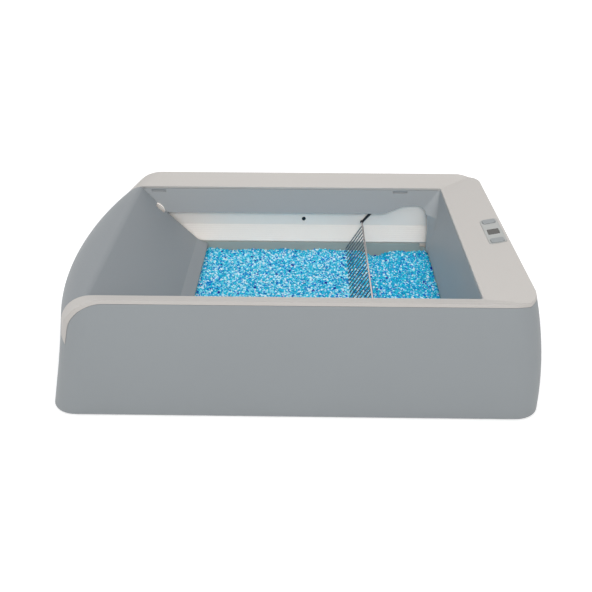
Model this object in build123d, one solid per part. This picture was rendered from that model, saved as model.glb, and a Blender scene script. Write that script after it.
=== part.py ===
"""Self-cleaning litter box: an open-topped frame over a drop-in litter tray.

+X runs to the control panel, +Y to the back and +Z up. The origin is on the
ground, in the middle of the footprint. Lengths are in millimetres.
"""
from build123d import *
import os
from math import atan2, cos, pi, sin, sqrt

os.makedirs("parts", exist_ok=True)

# Overall size of the frame
LENGTH = 695.0
WIDTH = 486.0
HEIGHT = 175.5
WALL = 2.8
SEAM = 0.4
BASE_LIFT = 1.5

# Lean of the outer walls between the base and the crest
SIDE_LEAN = 14.0
END_LEAN = 24.0
CORNER_RADIUS = 38.0
END_BULGE = 16.0
END_BULGE_TOP = 45.0
END_BULGE_HALF_SPAN = 215.0
END_MIDDLE_LEAN = 12.0

# Opening in the top
RIM_HALF_WIDTH = 193.0
RIM_HEIGHT = 162.0
RIM_RIGHT = 256.3
RIM_BEAD = 4.0
RIM_BEAD_DEPTH = 4.2
RIM_BEAD_ROUND = 1.9
RIM_BEAD_PROUD = 0.9
RIM_GAP = 0.4
BEZEL_DROP = 5.0

# Rounded left end and the two tails of the bezel
HOOD_ROUND_MIDDLE = 56.0
HOOD_ROUND_EDGE = 47.0
TAIL_ROUND = 60.0
TAIL_TOP = 126.0
TAIL_TIP = 97.0
HOOD_SEAM_HEIGHT = 30.0

# Splash skirt inside the opening
SKIRT_THICK = 2.4
SKIRT_HALF_WIDTH = 183.0
SKIRT_BEND = 117.0
SKIRT_STEP = 131.0
SKIRT_STEP_START = 150.0
SKIRT_STEP_END = 203.0
SKIRT_CORNER_START = 214.0
SKIRT_CORNER_X = 237.0
SKIRT_RIM_ROUND = 3.0
SKIRT_FOOT_ROUND = 30.0
SKIRT_END_BREAK_X = 245.0
SKIRT_END_BREAK = 88.0
SKIRT_END_FOOT_X = 239.0
SKIRT_END_FOOT = 55.0
CHEEK_RIGHT = -229.0
CHEEK_LEFT = -292.0
CHEEK_FOOT = 64.0
CHEEK_ROUND = 4.0
SOCKET_LENGTH = 25.0
SOCKET_HEIGHT = 4.6
SOCKET_DEPTH = 2.0
SOCKET_WALL = 1.5
SOCKET_LEVEL = 154.5
SOCKET_LEFT = -240.0
SOCKET_RIGHT = 186.0

# Waste hood
HOOD_SEAM_X = -262.0
RIDGE_X = -271.5
RIDGE_ROUND = 14.0
LIP_BEND_X = -176.5
LIP_BEND_HEIGHT = 66.5
LIP_X = -157.5
LIP_DROP = 10.0
HOOD_SIDE_GAP = 1.4
RING_NOTCH = 12.0

# Waste flap and its pivots
PIVOT_X = -249.0
PIVOT_HEIGHT = 115.4
PIN_RADIUS = 2.5
PIN_CLEARANCE = 0.08
HUB_RADIUS = 9.4
PIVOT_RING_RADIUS = 19.0
PIVOT_RING_BORE = 11.0
PIVOT_RING_THICK = 1.0
FLAP_THICK = 2.4
FLAP_FOOT = 60.0
FLAP_SIDE_GAP = 2.0

# Litter tray and its filling
TRAY_LEFT = -302.0
TRAY_RIGHT = 243.4
TRAY_HALF_WIDTH = 185.4
TRAY_WALL = 2.2
TRAY_HEIGHT = 59.5
TRAY_END_HEIGHT = 52.5
TRAY_CORNER = 14.0
TRAP_WALL_X = -228.0
TRAP_WALL_HEIGHT = 45.0
LITTER_LEVEL = 49.4
LITTER_GAP = 0.3

# Side liners and the chassis plate
LINER_THICK = 2.2
LINER_PLANE = 192.0
LINER_SLOT = 128.4
LINER_TOP = 144.0
LINER_BREAK = 91.0
LINER_FOOT_PLANE = 184.0
LINER_FOOT = 62.0
LINER_WEB_PLANE = 188.6
LINER_WEB_TOP = 74.0
LINER_RIGHT = 246.0
LINER_GROOVES = 8
LINER_GROOVE_DEPTH = 0.35
CHASSIS_LEVEL = 6.0
CHASSIS_THICK = 3.0
CHASSIS_HOLE_LEFT = -305.0
CHASSIS_HOLE_RIGHT = 250.0

# Rake, at its resting place
ROD_X = 121.0
ROD_HEIGHT = 98.0
ROD_RADIUS = 1.5
TINE_RADIUS = 0.9
TINE_COUNT = 27
TINE_SPAN = 350.0
TINE_TIP_X = 93.0
TINE_TIP_HEIGHT = 50.6
ARM_PLANE = 189.0
ARM_THICK = 2.0
ARM_TOP_THICK = 2.2
ARM_WIDTH = 3.4
ARM_EYE = 2.9
ARM_LINER_GAP = 0.4
ARM_END_GAP = 2.0
ARM_LAP = 8.0
ARM_CLEARANCE = 0.05
ARM_TOP_LEFT = 143.0
ARM_TOP_RIGHT = 155.0

# Carriages and their rails
RAKE_LEFT_TRAVEL = 245.0
RAKE_RIGHT_TRAVEL = 80.0
CARRIAGE_LENGTH = 40.0
CARRIAGE_X = 138.0
CARRIAGE_INNER = 206.0
CARRIAGE_OUTER = 229.0
CARRIAGE_FOOT = 84.0
RAIL_RADIUS = 4.0
RAIL_PLANE = 221.0
RAIL_HEIGHT = 98.0
RAIL_CLEARANCE = 0.3
BRACKET_LEFT_X = -160.0
BRACKET_RIGHT_X = 275.0
BRACKET_THICK = 8.0
BRACKET_HALF_WIDTH = 7.5
BRACKET_TOP = 8.0

# Rack drive
RACK_PITCH = 12.0
PINION_TEETH = 8
TOOTH_WIDTH = 3.0
TOOTH_HEIGHT = 2.2
TOOTH_ROOT = 2.6
PINION_THICK = 7.0
PINION_HEIGHT = 62.0
PINION_PLANE = 203.0
RACK_TOOTH_WIDTH = 4.0
RACK_THICK = 8.0
RACK_OVERRUN = 22.0
SHAFT_RADIUS = 2.0
GEARBOX_FOOT = 48.0
GEARBOX_GAP = 1.0
MOTOR_RADIUS = 9.5
MOTOR_LENGTH = 27.0

# Control panel on the right deck
PANEL_X = 307.0
PANEL_Y = -2.0
PANEL_WIDTH = 26.0
PANEL_LENGTH = 84.0
PANEL_PROUD = 0.4
PANEL_THICK = 3.4
PANEL_ROUND = 5.0
PANEL_GAP = 0.3
HOUSING_SIDE = 1.2
HOUSING_END = 5.0
HOUSING_WALL = 2.0
HOUSING_DEPTH = 13.0
HOUSING_LEDGE = 2.0
DISPLAY_WIDTH = 17.0
DISPLAY_LENGTH = 17.5
DISPLAY_Y = -3.0
BUTTON_WIDTH = 20.0
BUTTON_LENGTH = 14.0
BUTTON_ROUND = 4.0
BUTTON_SPACING = 33.0
BUTTON_PROUD = 1.1
BUTTON_TRAVEL = 0.8
BUTTON_HEIGHT = 7.4
BOARD_THICK = 1.6
BOARD_DEPTH = 5.4
SWITCH_RADIUS = 3.0

# Sensors, power inlet, feet and screws
SENSOR_X = 16.6
SENSOR_HEIGHT = 102.5
SENSOR_RADIUS = 3.5
SENSOR_LENGTH = 8.0
JACK_X = 285.0
JACK_HEIGHT = 40.0
JACK_RADIUS = 5.5
JACK_BORE = 3.0
JACK_LENGTH = 16.0
FOOT_RADIUS = 9.0
FOOT_LEFT_X = -322.0
FOOT_RIGHT_X = 300.0
FOOT_MIDDLE_X = 20.0
SCREW_RADIUS = 1.6
SCREW_HEAD_RADIUS = 3.4
SCREW_HEAD = 2.2
SCREW_LENGTH = 12.0
SCREW_SLOT = 0.8

# Sizes worked out from the ones above
HALF_LENGTH = LENGTH / 2
HALF_WIDTH = WIDTH / 2
CREST_HALF_WIDTH = HALF_WIDTH - SIDE_LEAN
CREST_RIGHT = HALF_LENGTH - END_LEAN
DECK_TILT = atan2(HEIGHT - RIM_HEIGHT, CREST_RIGHT - RIM_RIGHT)
SKIRT_TOP = RIM_HEIGHT + RIM_BEAD_PROUD - RIM_BEAD_DEPTH - RIM_GAP
SKIRT_RIM_X = RIM_RIGHT - RIM_GAP
SKIRT_RIM_Y = RIM_HALF_WIDTH - RIM_GAP
CHASSIS_TOP = CHASSIS_LEVEL + CHASSIS_THICK
ARM_TOP_FOOT = LINER_SLOT + ARM_LINER_GAP
PINION_RADIUS = RACK_PITCH * PINION_TEETH / (2 * pi)
BEYOND = 100.0


def bulge(y, height=0.0):
    """How far the left end falls back from the base's apex at a depth and height."""
    share = height / HEIGHT
    sag = END_BULGE + (END_BULGE_TOP - END_BULGE) * share
    return END_MIDDLE_LEAN * share + sag * (y / END_BULGE_HALF_SPAN) ** 2


def slab(x0, x1, y0, y1, z0, z1):
    """A box between two corners."""
    centre = ((x0 + x1) / 2, (y0 + y1) / 2, (z0 + z1) / 2)
    return Pos(*centre) * Box(abs(x1 - x0), abs(y1 - y0), abs(z1 - z0))


def along_x(points, x0, x1):
    """A prism with its outline in Y and Z."""
    outline = Plane(origin=(x0, 0, 0), x_dir=(0, 1, 0), z_dir=(1, 0, 0)) * make_face(
        Polyline(*points, close=True)
    )
    return extrude(outline, x1 - x0)


def along_y(points, y0, y1):
    """A prism with its outline in X and Z."""
    outline = Plane(origin=(0, y0, 0), x_dir=(1, 0, 0), z_dir=(0, -1, 0)) * make_face(
        Polyline(*points, close=True)
    )
    return extrude(outline, y0 - y1)


def rod_x(x0, x1, y, z, radius):
    """A round bar along X."""
    place = Plane(origin=(x0, y, z), x_dir=(0, 1, 0), z_dir=(1, 0, 0))
    return extrude(place * Circle(radius), x1 - x0)


def rod_y(x, y0, y1, z, radius):
    """A round bar along Y."""
    place = Plane(origin=(x, y0, z), x_dir=(1, 0, 0), z_dir=(0, -1, 0))
    return extrude(place * Circle(radius), y0 - y1)


def both_sides(make):
    """The same piece at the back and at the front."""
    back = make()
    return back, mirror(back, Plane.XZ)


def plan_section(height, inset):
    """Outline of the body at a height, moved inwards by the inset."""
    share = height / HEIGHT
    y = HALF_WIDTH - SIDE_LEAN * share ** 2 - inset
    x = HALF_LENGTH - END_LEAN * share ** 2 - inset
    edge = -HALF_LENGTH + bulge(y, height) + inset
    apex = -HALF_LENGTH + bulge(0, height) + inset
    outline = Wire([
        ThreePointArc((edge, y), (apex, 0), (edge, -y)),
        Line((edge, -y), (x, -y)),
        Line((x, -y), (x, y)),
        Line((x, y), (edge, y)),
    ])
    face = make_face(outline)
    rounded = fillet(face.vertices(), CORNER_RADIUS - inset)
    return Pos(0, 0, height) * rounded


def leaning_walls(inset):
    """The body between its outer walls, each moved inwards by the inset."""
    return loft([plan_section(HEIGHT * share, inset) for share in (0, 0.5, 1)])


def end_profile(y, top, radius, inset):
    """Side view of the rounded left end at depth y, as a closed face."""
    low = -BEYOND
    slope = (bulge(y, HEIGHT) - bulge(y)) / HEIGHT
    lean = atan2(slope, 1)
    left = -HALF_LENGTH + bulge(y) - SEAM
    spring = top - radius
    touch_z = spring + radius * sin(lean)
    touch_x = left + touch_z * slope
    cx = touch_x + radius * cos(lean)
    r = radius - inset
    start = (cx - r * cos(lean), spring + r * sin(lean))
    middle_turn = (pi / 2 + lean) / 2
    middle = (cx - r * cos(middle_turn), spring + r * sin(middle_turn))
    foot = (start[0] - (start[1] - low) * slope, low)
    outline = Wire([
        Line(foot, start),
        ThreePointArc(start, middle, (cx, top - inset)),
        Line((cx, top - inset), (LENGTH, top - inset)),
        Line((LENGTH, top - inset), (LENGTH, low)),
        Line((LENGTH, low), foot),
    ])
    return Plane(origin=(0, y, 0), x_dir=(1, 0, 0), z_dir=(0, -1, 0)) * make_face(outline)


def crowned_top(inset):
    """Everything below the top surface, moved down and in by the inset."""
    whole = loft([
        end_profile(
            share * RIM_HALF_WIDTH,
            RIM_HEIGHT,
            HOOD_ROUND_MIDDLE + (HOOD_ROUND_EDGE - HOOD_ROUND_MIDDLE) * share ** 2,
            inset,
        )
        for share in (-1, -0.5, 0, 0.5, 1)
    ])
    for side in (1, -1):
        rim = end_profile(side * RIM_HALF_WIDTH, RIM_HEIGHT, HOOD_ROUND_EDGE, inset)
        crest = end_profile(side * CREST_HALF_WIDTH, HEIGHT, TAIL_ROUND, inset)
        whole += loft([rim, crest], ruled=True)
        whole += extrude(crest, HALF_WIDTH + 20 - CREST_HALF_WIDTH, dir=(0, side, 0))
    deck = [
        (RIM_RIGHT, -BEYOND),
        (RIM_RIGHT, RIM_HEIGHT - inset),
        (CREST_RIGHT, HEIGHT - inset),
        (LENGTH, HEIGHT - inset),
        (LENGTH, -BEYOND),
    ]
    return whole + along_y(deck, -HALF_WIDTH - 20, HALF_WIDTH + 20)


def skirt_half_width(height):
    """Inner face of the splash skirt at a height."""
    slope = (SKIRT_RIM_Y - SKIRT_HALF_WIDTH) / (SKIRT_TOP - SKIRT_BEND)
    return SKIRT_HALF_WIDTH + max(0.0, height - SKIRT_BEND) * slope


def between_skirts(gap, x0, x1):
    """The space between the two side skirts, less a gap at each."""
    low = SKIRT_HALF_WIDTH - gap
    high = skirt_half_width(SKIRT_TOP) - gap
    outline = [
        (-low, -1),
        (-low, SKIRT_BEND),
        (-high, SKIRT_TOP),
        (-high, HEIGHT),
        (high, HEIGHT),
        (high, SKIRT_TOP),
        (low, SKIRT_BEND),
        (low, -1),
    ]
    return along_x(outline, x0, x1)


def deck_place(u, v, w):
    """A place on the sloping deck: u up the slope, v along Y, w out of it."""
    normal = (-sin(DECK_TILT), 0, cos(DECK_TILT))
    uphill = (cos(DECK_TILT), 0, sin(DECK_TILT))
    height = RIM_HEIGHT + (PANEL_X - RIM_RIGHT) * (HEIGHT - RIM_HEIGHT) / (CREST_RIGHT - RIM_RIGHT)
    x = PANEL_X + u * uphill[0] + w * normal[0]
    z = height + u * uphill[2] + w * normal[2]
    return Plane(origin=(x, PANEL_Y + v, z), x_dir=uphill, z_dir=normal)


def deck_plate(u, v, w0, w1, width, length, radius):
    """A rounded plate lying in the deck between two depths."""
    outline = RectangleRounded(width, length, radius)
    return extrude(deck_place(u, v, w0) * outline, w1 - w0)


# Outer form, its skin and the zones that the covers share
outside = leaning_walls(0) & crowned_top(0)
inside = leaning_walls(WALL) & crowned_top(WALL)
skin = outside - inside

hood_zone = slab(-LENGTH, HOOD_SEAM_X, -RIM_HALF_WIDTH, RIM_HALF_WIDTH, HOOD_SEAM_HEIGHT, HEIGHT)
tail_outline = [
    (RIM_HALF_WIDTH, -1),
    (RIM_HALF_WIDTH, TAIL_TOP),
    (HALF_WIDTH + 1, TAIL_TIP),
    (HALF_WIDTH + 1, -1),
]
tail_zone = along_x(tail_outline, -LENGTH, HOOD_SEAM_X)
tail_zone += mirror(tail_zone, Plane.XZ)
opening = slab(-LENGTH, RIM_RIGHT, -RIM_HALF_WIDTH, RIM_HALF_WIDTH, HOOD_SEAM_HEIGHT, HEIGHT + 1)


def make_top_bezel():
    """Pale band round the opening, with its sloping deck and two tails."""
    bezel = skin - crowned_top(BEZEL_DROP) - opening - tail_zone
    bezel -= slab(-LENGTH, LENGTH, -WIDTH, WIDTH, 0, HOOD_SEAM_HEIGHT)
    top = RIM_HEIGHT + RIM_BEAD_PROUD
    outer = slab(
        HOOD_SEAM_X, RIM_RIGHT + RIM_BEAD,
        -RIM_HALF_WIDTH - RIM_BEAD, RIM_HALF_WIDTH + RIM_BEAD,
        top - RIM_BEAD_DEPTH, top,
    )
    inner = slab(HOOD_SEAM_X - 1, RIM_RIGHT, -RIM_HALF_WIDTH, RIM_HALF_WIDTH, 0, HEIGHT)
    inner = fillet(inner.edges().filter_by(Axis.Z).group_by(Axis.X)[-1], RIM_BEAD_DEPTH)
    bead = outer - inner
    rim_edges = [
        e for e in bead.edges()
        if abs(e.center().Z - top) < 0.01
        and abs(e.center().Y) < RIM_HALF_WIDTH + 0.01
        and e.center().X < RIM_RIGHT + 0.01
        and e.center().X > HOOD_SEAM_X + 1
    ]
    bead = fillet(rim_edges, RIM_BEAD_ROUND)
    bezel += bead
    window = deck_plate(
        0, 0, -2 * WALL, 2 * WALL,
        PANEL_WIDTH + 2 * PANEL_GAP, PANEL_LENGTH + 2 * PANEL_GAP, PANEL_ROUND,
    )
    return bezel - window


def make_outer_shell():
    """Grey outer wall, from the ground to the seam under the bezel."""
    below = crowned_top(BEZEL_DROP + SEAM)
    low_tail = Pos(0, 0, -SEAM) * tail_zone
    foot_band = slab(-LENGTH, LENGTH, -WIDTH, WIDTH, 0, HOOD_SEAM_HEIGHT - SEAM)
    shell = skin & (below + low_tail + foot_band)
    shell -= slab(
        -LENGTH, HOOD_SEAM_X + SEAM,
        -RIM_HALF_WIDTH - SEAM, RIM_HALF_WIDTH + SEAM,
        HOOD_SEAM_HEIGHT - SEAM, HEIGHT,
    )
    shell -= slab(-LENGTH, LENGTH, -WIDTH, WIDTH, -1, BASE_LIFT)
    return shell - rod_y(JACK_X, HALF_WIDTH - 20, HALF_WIDTH + 1, JACK_HEIGHT, JACK_RADIUS + PANEL_GAP)


def under_hood_front():
    """Side view of all that lies under the ridge, the sloping front and the lip."""
    outline = make_face(Polyline(
        (-LENGTH, RIM_HEIGHT),
        (RIDGE_X, RIM_HEIGHT),
        (LIP_BEND_X, LIP_BEND_HEIGHT),
        (LIP_X, LIP_BEND_HEIGHT - LIP_DROP),
        (LIP_X, -BEYOND),
        (-LENGTH, -BEYOND),
        close=True,
    ))
    ridge = outline.vertices().sort_by_distance((RIDGE_X, RIM_HEIGHT, 0))[0]
    return fillet(ridge, RIDGE_ROUND)


def across(face, half_width):
    """A side view drawn out to both sides of the middle."""
    place = Plane(origin=(0, half_width, 0), x_dir=(1, 0, 0), z_dir=(0, -1, 0))
    return extrude(place * face, 2 * half_width)


def make_waste_hood():
    """Cover over the waste trap: rounded outer end, ridge and sloping front."""
    half = RIM_HALF_WIDTH - SEAM
    profile = under_hood_front()
    under = across(profile, half)
    hollow = across(offset(profile, amount=-WALL, kind=Kind.INTERSECTION), half + 1)
    end = skin & hood_zone & under
    lip_foot = LIP_BEND_HEIGHT - LIP_DROP - WALL
    front = under & crowned_top(0)
    front &= slab(RIDGE_X - 3 * WALL, LIP_X + 1, -half, half, lip_foot, HEIGHT)
    front = front - hollow
    front &= between_skirts(HOOD_SIDE_GAP, -LENGTH, LENGTH)
    notch = rod_y(PIVOT_X, SKIRT_HALF_WIDTH - RING_NOTCH, WIDTH, PIVOT_HEIGHT, PIVOT_RING_RADIUS + SEAM)
    front -= notch
    front -= mirror(notch, Plane.XZ)
    return end + front


def skirt_cavity(grow):
    """The space inside the skirt: a funnel whose right corners widen downwards."""
    share = (SKIRT_BEND - SKIRT_END_BREAK) / (SKIRT_TOP - SKIRT_END_BREAK)
    bend_x = SKIRT_END_BREAK_X + (SKIRT_RIM_X - SKIRT_END_BREAK_X) * share
    levels = [
        (SKIRT_END_FOOT, SKIRT_END_FOOT_X, SKIRT_HALF_WIDTH, SKIRT_FOOT_ROUND),
        (SKIRT_END_BREAK, SKIRT_END_BREAK_X, SKIRT_HALF_WIDTH, SKIRT_FOOT_ROUND),
        (SKIRT_BEND, bend_x, SKIRT_HALF_WIDTH, SKIRT_FOOT_ROUND),
        (SKIRT_TOP, SKIRT_RIM_X, skirt_half_width(SKIRT_TOP), SKIRT_RIM_ROUND),
    ]
    sections = []
    for z, right, half, radius in levels:
        right += grow
        half += grow
        radius += grow
        turn = radius * (1 - cos(pi / 4))
        outline = Wire([
            Line((CHEEK_LEFT, half), (right - radius, half)),
            ThreePointArc((right - radius, half), (right - turn, half - turn), (right, half - radius)),
            Line((right, half - radius), (right, radius - half)),
            ThreePointArc((right, radius - half), (right - turn, turn - half), (right - radius, -half)),
            Line((right - radius, -half), (CHEEK_LEFT, -half)),
            Line((CHEEK_LEFT, -half), (CHEEK_LEFT, half)),
        ])
        sections.append(Pos(0, 0, z) * make_face(outline))
    funnel = loft(sections[:2], ruled=True)
    funnel += loft(sections[1:3], ruled=True)
    funnel += loft(sections[2:], ruled=True)
    return funnel


def below_skirt():
    """The space under the side skirts, from the hood's cheek to the right corner."""
    foot = SKIRT_END_FOOT - 5
    turn = CHEEK_ROUND
    lower_edge = Wire([
        Line((CHEEK_RIGHT, foot), (CHEEK_RIGHT, SKIRT_BEND - turn)),
        ThreePointArc(
            (CHEEK_RIGHT, SKIRT_BEND - turn),
            (CHEEK_RIGHT + turn * (1 - cos(pi / 4)), SKIRT_BEND - turn * (1 - sin(pi / 4))),
            (CHEEK_RIGHT + turn, SKIRT_BEND),
        ),
        Line((CHEEK_RIGHT + turn, SKIRT_BEND), (SKIRT_STEP_START, SKIRT_BEND)),
        Spline(
            (SKIRT_STEP_START, SKIRT_BEND),
            (SKIRT_STEP_END, SKIRT_STEP),
            tangents=[(1, 0), (1, 0)],
        ),
        Line((SKIRT_STEP_END, SKIRT_STEP), (SKIRT_CORNER_START, SKIRT_STEP)),
        Spline(
            (SKIRT_CORNER_START, SKIRT_STEP),
            (SKIRT_CORNER_X, SKIRT_END_BREAK),
            tangents=[(1, 0), (0, -1)],
        ),
        Line((SKIRT_CORNER_X, SKIRT_END_BREAK), (SKIRT_CORNER_X - 1, foot)),
        Line((SKIRT_CORNER_X - 1, foot), (CHEEK_RIGHT, foot)),
    ])
    place = Plane(origin=(0, WIDTH, 0), x_dir=(1, 0, 0), z_dir=(0, -1, 0))
    return extrude(place * make_face(lower_edge), 2 * WIDTH)


def make_inner_skirt():
    """Splash skirt round three sides of the opening, with the cheeks beside the hood."""
    skirt = skirt_cavity(SKIRT_THICK) - skirt_cavity(0) - below_skirt()
    skirt -= slab(CHEEK_LEFT - 1, CHEEK_RIGHT + 1, -WIDTH, WIDTH, 0, CHEEK_FOOT)
    half = SOCKET_LENGTH / 2
    high = SOCKET_HEIGHT / 2
    y = skirt_half_width(SOCKET_LEVEL)
    for x in (SOCKET_LEFT, SOCKET_RIGHT):
        boss = slab(
            x - half - SOCKET_WALL, x + half + SOCKET_WALL,
            y + SKIRT_THICK / 2, y + SOCKET_DEPTH + SOCKET_WALL,
            SOCKET_LEVEL - high - SOCKET_WALL, SOCKET_LEVEL + high + SOCKET_WALL,
        )
        pocket = slab(
            x - half, x + half,
            y - SKIRT_THICK, y + SOCKET_DEPTH,
            SOCKET_LEVEL - high, SOCKET_LEVEL + high,
        )
        for flip in (False, True):
            skirt += mirror(boss, Plane.XZ) if flip else boss
            skirt -= mirror(pocket, Plane.XZ) if flip else pocket
    skirt -= rod_y(PIVOT_X, -WIDTH, WIDTH, PIVOT_HEIGHT, PIN_RADIUS + PIN_CLEARANCE)
    under_hood = crowned_top(WALL + SEAM)
    return skirt & under_hood


def make_side_liner():
    """Pale liner behind the skirt, with a grooved lower band."""
    t = LINER_THICK
    section = [
        (LINER_PLANE, LINER_TOP),
        (LINER_PLANE, LINER_BREAK),
        (LINER_FOOT_PLANE, LINER_FOOT),
        (LINER_FOOT_PLANE + 1.2, LINER_FOOT - 2.0),
        (LINER_WEB_PLANE, LINER_FOOT - 2.0),
        (LINER_WEB_PLANE, CHASSIS_TOP),
        (LINER_WEB_PLANE + t, CHASSIS_TOP),
        (LINER_WEB_PLANE + t, LINER_WEB_TOP),
        (LINER_PLANE + t, LINER_BREAK - 0.8),
        (LINER_PLANE + t, LINER_TOP),
    ]
    liner = along_x(section, CHEEK_RIGHT + SEAM, LINER_RIGHT)
    rise = LINER_BREAK - LINER_FOOT
    run = LINER_PLANE - LINER_FOOT_PLANE
    for i in range(LINER_GROOVES):
        share = (i + 0.7) / LINER_GROOVES
        y = LINER_FOOT_PLANE + run * share
        z = LINER_FOOT + rise * share
        liner -= rod_x(CHEEK_RIGHT - 9, LINER_RIGHT + 1, y, z, LINER_GROOVE_DEPTH)
    liner -= rod_y(SENSOR_X, LINER_PLANE - 5, LINER_PLANE + 5, SENSOR_HEIGHT, SENSOR_RADIUS + 0.1)
    return liner - slab(
        ARM_TOP_LEFT - RAKE_LEFT_TRAVEL - ARM_END_GAP,
        ARM_TOP_RIGHT + RAKE_RIGHT_TRAVEL + ARM_END_GAP,
        LINER_PLANE - t, LINER_PLANE + 2 * t,
        LINER_SLOT, ARM_TOP_FOOT + ARM_TOP_THICK + ARM_LINER_GAP,
    )


def make_litter_tray():
    """Drop-in tray with a trap wall across its left end."""
    outer = slab(TRAY_LEFT, TRAY_RIGHT, -TRAY_HALF_WIDTH, TRAY_HALF_WIDTH, 0, TRAY_HEIGHT)
    outer = fillet(outer.edges().filter_by(Axis.Z), TRAY_CORNER)
    w = TRAY_WALL
    inner = slab(
        TRAY_LEFT + w, TRAY_RIGHT - w,
        -TRAY_HALF_WIDTH + w, TRAY_HALF_WIDTH - w,
        w, TRAY_HEIGHT + 1,
    )
    inner = fillet(inner.edges().filter_by(Axis.Z), TRAY_CORNER - w)
    tray = outer - inner
    tray += slab(
        TRAP_WALL_X, TRAP_WALL_X + w,
        -TRAY_HALF_WIDTH + w / 2, TRAY_HALF_WIDTH - w / 2,
        w / 2, TRAP_WALL_HEIGHT,
    )
    tray -= slab(
        SKIRT_END_FOOT_X - 12, TRAY_RIGHT + 1,
        -WIDTH, WIDTH,
        TRAY_END_HEIGHT, TRAY_HEIGHT + 1,
    )
    return tray


def make_litter_bed():
    """Bed of crystal litter that fills the tray to the level of the tines."""
    w = TRAY_WALL + LITTER_GAP
    half = TRAY_HALF_WIDTH - w
    bed = slab(
        TRAP_WALL_X + w, TRAY_RIGHT - w,
        -half, half,
        TRAY_WALL, LITTER_LEVEL,
    )
    right = bed.edges().filter_by(Axis.Z).group_by(Axis.X)[-1]
    return fillet(right, TRAY_CORNER - w)


def make_chassis():
    """Plate round the tray that carries the rails, liners and feet."""
    slice_ = slab(-LENGTH, LENGTH, -WIDTH, WIDTH, CHASSIS_LEVEL, CHASSIS_TOP)
    plate = slice_ & leaning_walls(WALL + SEAM)
    half = LINER_WEB_PLANE - SEAM
    hole = slab(CHASSIS_HOLE_LEFT, CHASSIS_HOLE_RIGHT, -half, half, 0, CHASSIS_TOP + 1)
    plate -= hole
    for x, y in bracket_places():
        plate -= Pos(x, y, CHASSIS_LEVEL) * Cylinder(SCREW_RADIUS + 0.2, 4 * CHASSIS_THICK)
    return plate


def bracket_places():
    """Where the four rail brackets stand."""
    return [
        (x, side * RAIL_PLANE)
        for x in (BRACKET_LEFT_X, BRACKET_RIGHT_X)
        for side in (1, -1)
    ]


def make_bracket(x, y):
    """Upright that holds one end of a guide rail."""
    bracket = slab(
        x - BRACKET_THICK / 2, x + BRACKET_THICK / 2,
        y - BRACKET_HALF_WIDTH, y + BRACKET_HALF_WIDTH,
        CHASSIS_TOP, RAIL_HEIGHT + BRACKET_TOP,
    )
    bracket -= rod_x(x - BRACKET_THICK, x + BRACKET_THICK, y, RAIL_HEIGHT, RAIL_RADIUS + 0.05)
    return bracket - Pos(x, y, CHASSIS_TOP) * Cylinder(SCREW_RADIUS + 0.05, 2 * SCREW_LENGTH)


def make_screw(x, y):
    """Pan-head screw up through the chassis into a bracket."""
    head = Pos(x, y, CHASSIS_LEVEL - SCREW_HEAD / 2) * Cylinder(SCREW_HEAD_RADIUS, SCREW_HEAD)
    head = fillet(head.edges().group_by(Axis.Z)[0], SCREW_HEAD / 3)
    shank = Pos(x, y, CHASSIS_LEVEL + SCREW_LENGTH / 2) * Cylinder(SCREW_RADIUS, SCREW_LENGTH)
    slot = Box(SCREW_HEAD_RADIUS, SCREW_SLOT, 2 * SCREW_SLOT)
    cross = slot + Rot(0, 0, 90) * slot
    return head + shank - Pos(x, y, CHASSIS_LEVEL - SCREW_HEAD) * cross


def make_guide_rail():
    """Round steel rail in the side channel."""
    reach = BRACKET_THICK / 2
    return rod_x(BRACKET_LEFT_X - reach, BRACKET_RIGHT_X + reach, RAIL_PLANE, RAIL_HEIGHT, RAIL_RADIUS)


def make_carriage():
    """Block that slides on a rail and carries one end of the rake."""
    half = CARRIAGE_LENGTH / 2
    block = slab(
        CARRIAGE_X - half, CARRIAGE_X + half,
        CARRIAGE_INNER, CARRIAGE_OUTER,
        CARRIAGE_FOOT, ARM_TOP_FOOT,
    )
    block = fillet(block.edges().filter_by(Axis.Y), 3)
    return block - rod_x(
        CARRIAGE_X - CARRIAGE_LENGTH, CARRIAGE_X + CARRIAGE_LENGTH,
        RAIL_PLANE, RAIL_HEIGHT, RAIL_RADIUS + RAIL_CLEARANCE,
    )


def make_rake_arm():
    """Black arm from the rod's end up through the liner's slot to the carriage."""
    top = ARM_TOP_FOOT + ARM_TOP_THICK
    half = ARM_WIDTH / 2
    middle = (ARM_TOP_LEFT + ARM_TOP_RIGHT) / 2
    outline = [
        (ROD_X - half, ROD_HEIGHT),
        (ROD_X + half, ROD_HEIGHT - half / 2),
        (middle + half, ARM_TOP_FOOT),
        (ARM_TOP_RIGHT, ARM_TOP_FOOT),
        (ARM_TOP_RIGHT, top),
        (ARM_TOP_LEFT, top),
        (ARM_TOP_LEFT, ARM_TOP_FOOT),
    ]
    bar = along_y(outline, ARM_PLANE, ARM_PLANE + ARM_THICK)
    bar += rod_y(ROD_X, ARM_PLANE, ARM_PLANE + ARM_THICK, ROD_HEIGHT, ARM_EYE)
    bridge = slab(
        ARM_TOP_LEFT, ARM_TOP_RIGHT,
        ARM_PLANE, CARRIAGE_INNER + ARM_LAP,
        ARM_TOP_FOOT, top,
    )
    arm = bar + bridge
    return arm - rod_y(ROD_X, ARM_PLANE - 1, ARM_PLANE + ARM_THICK + 1, ROD_HEIGHT, ROD_RADIUS + ARM_CLEARANCE)


def make_rake_rod():
    """Steel rod across the top of the rake."""
    reach = ARM_PLANE + ARM_THICK
    rod = rod_y(ROD_X, -reach, reach, ROD_HEIGHT, ROD_RADIUS)
    return fillet(rod.edges().filter_by(GeomType.CIRCLE), ROD_RADIUS / 3)


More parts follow.
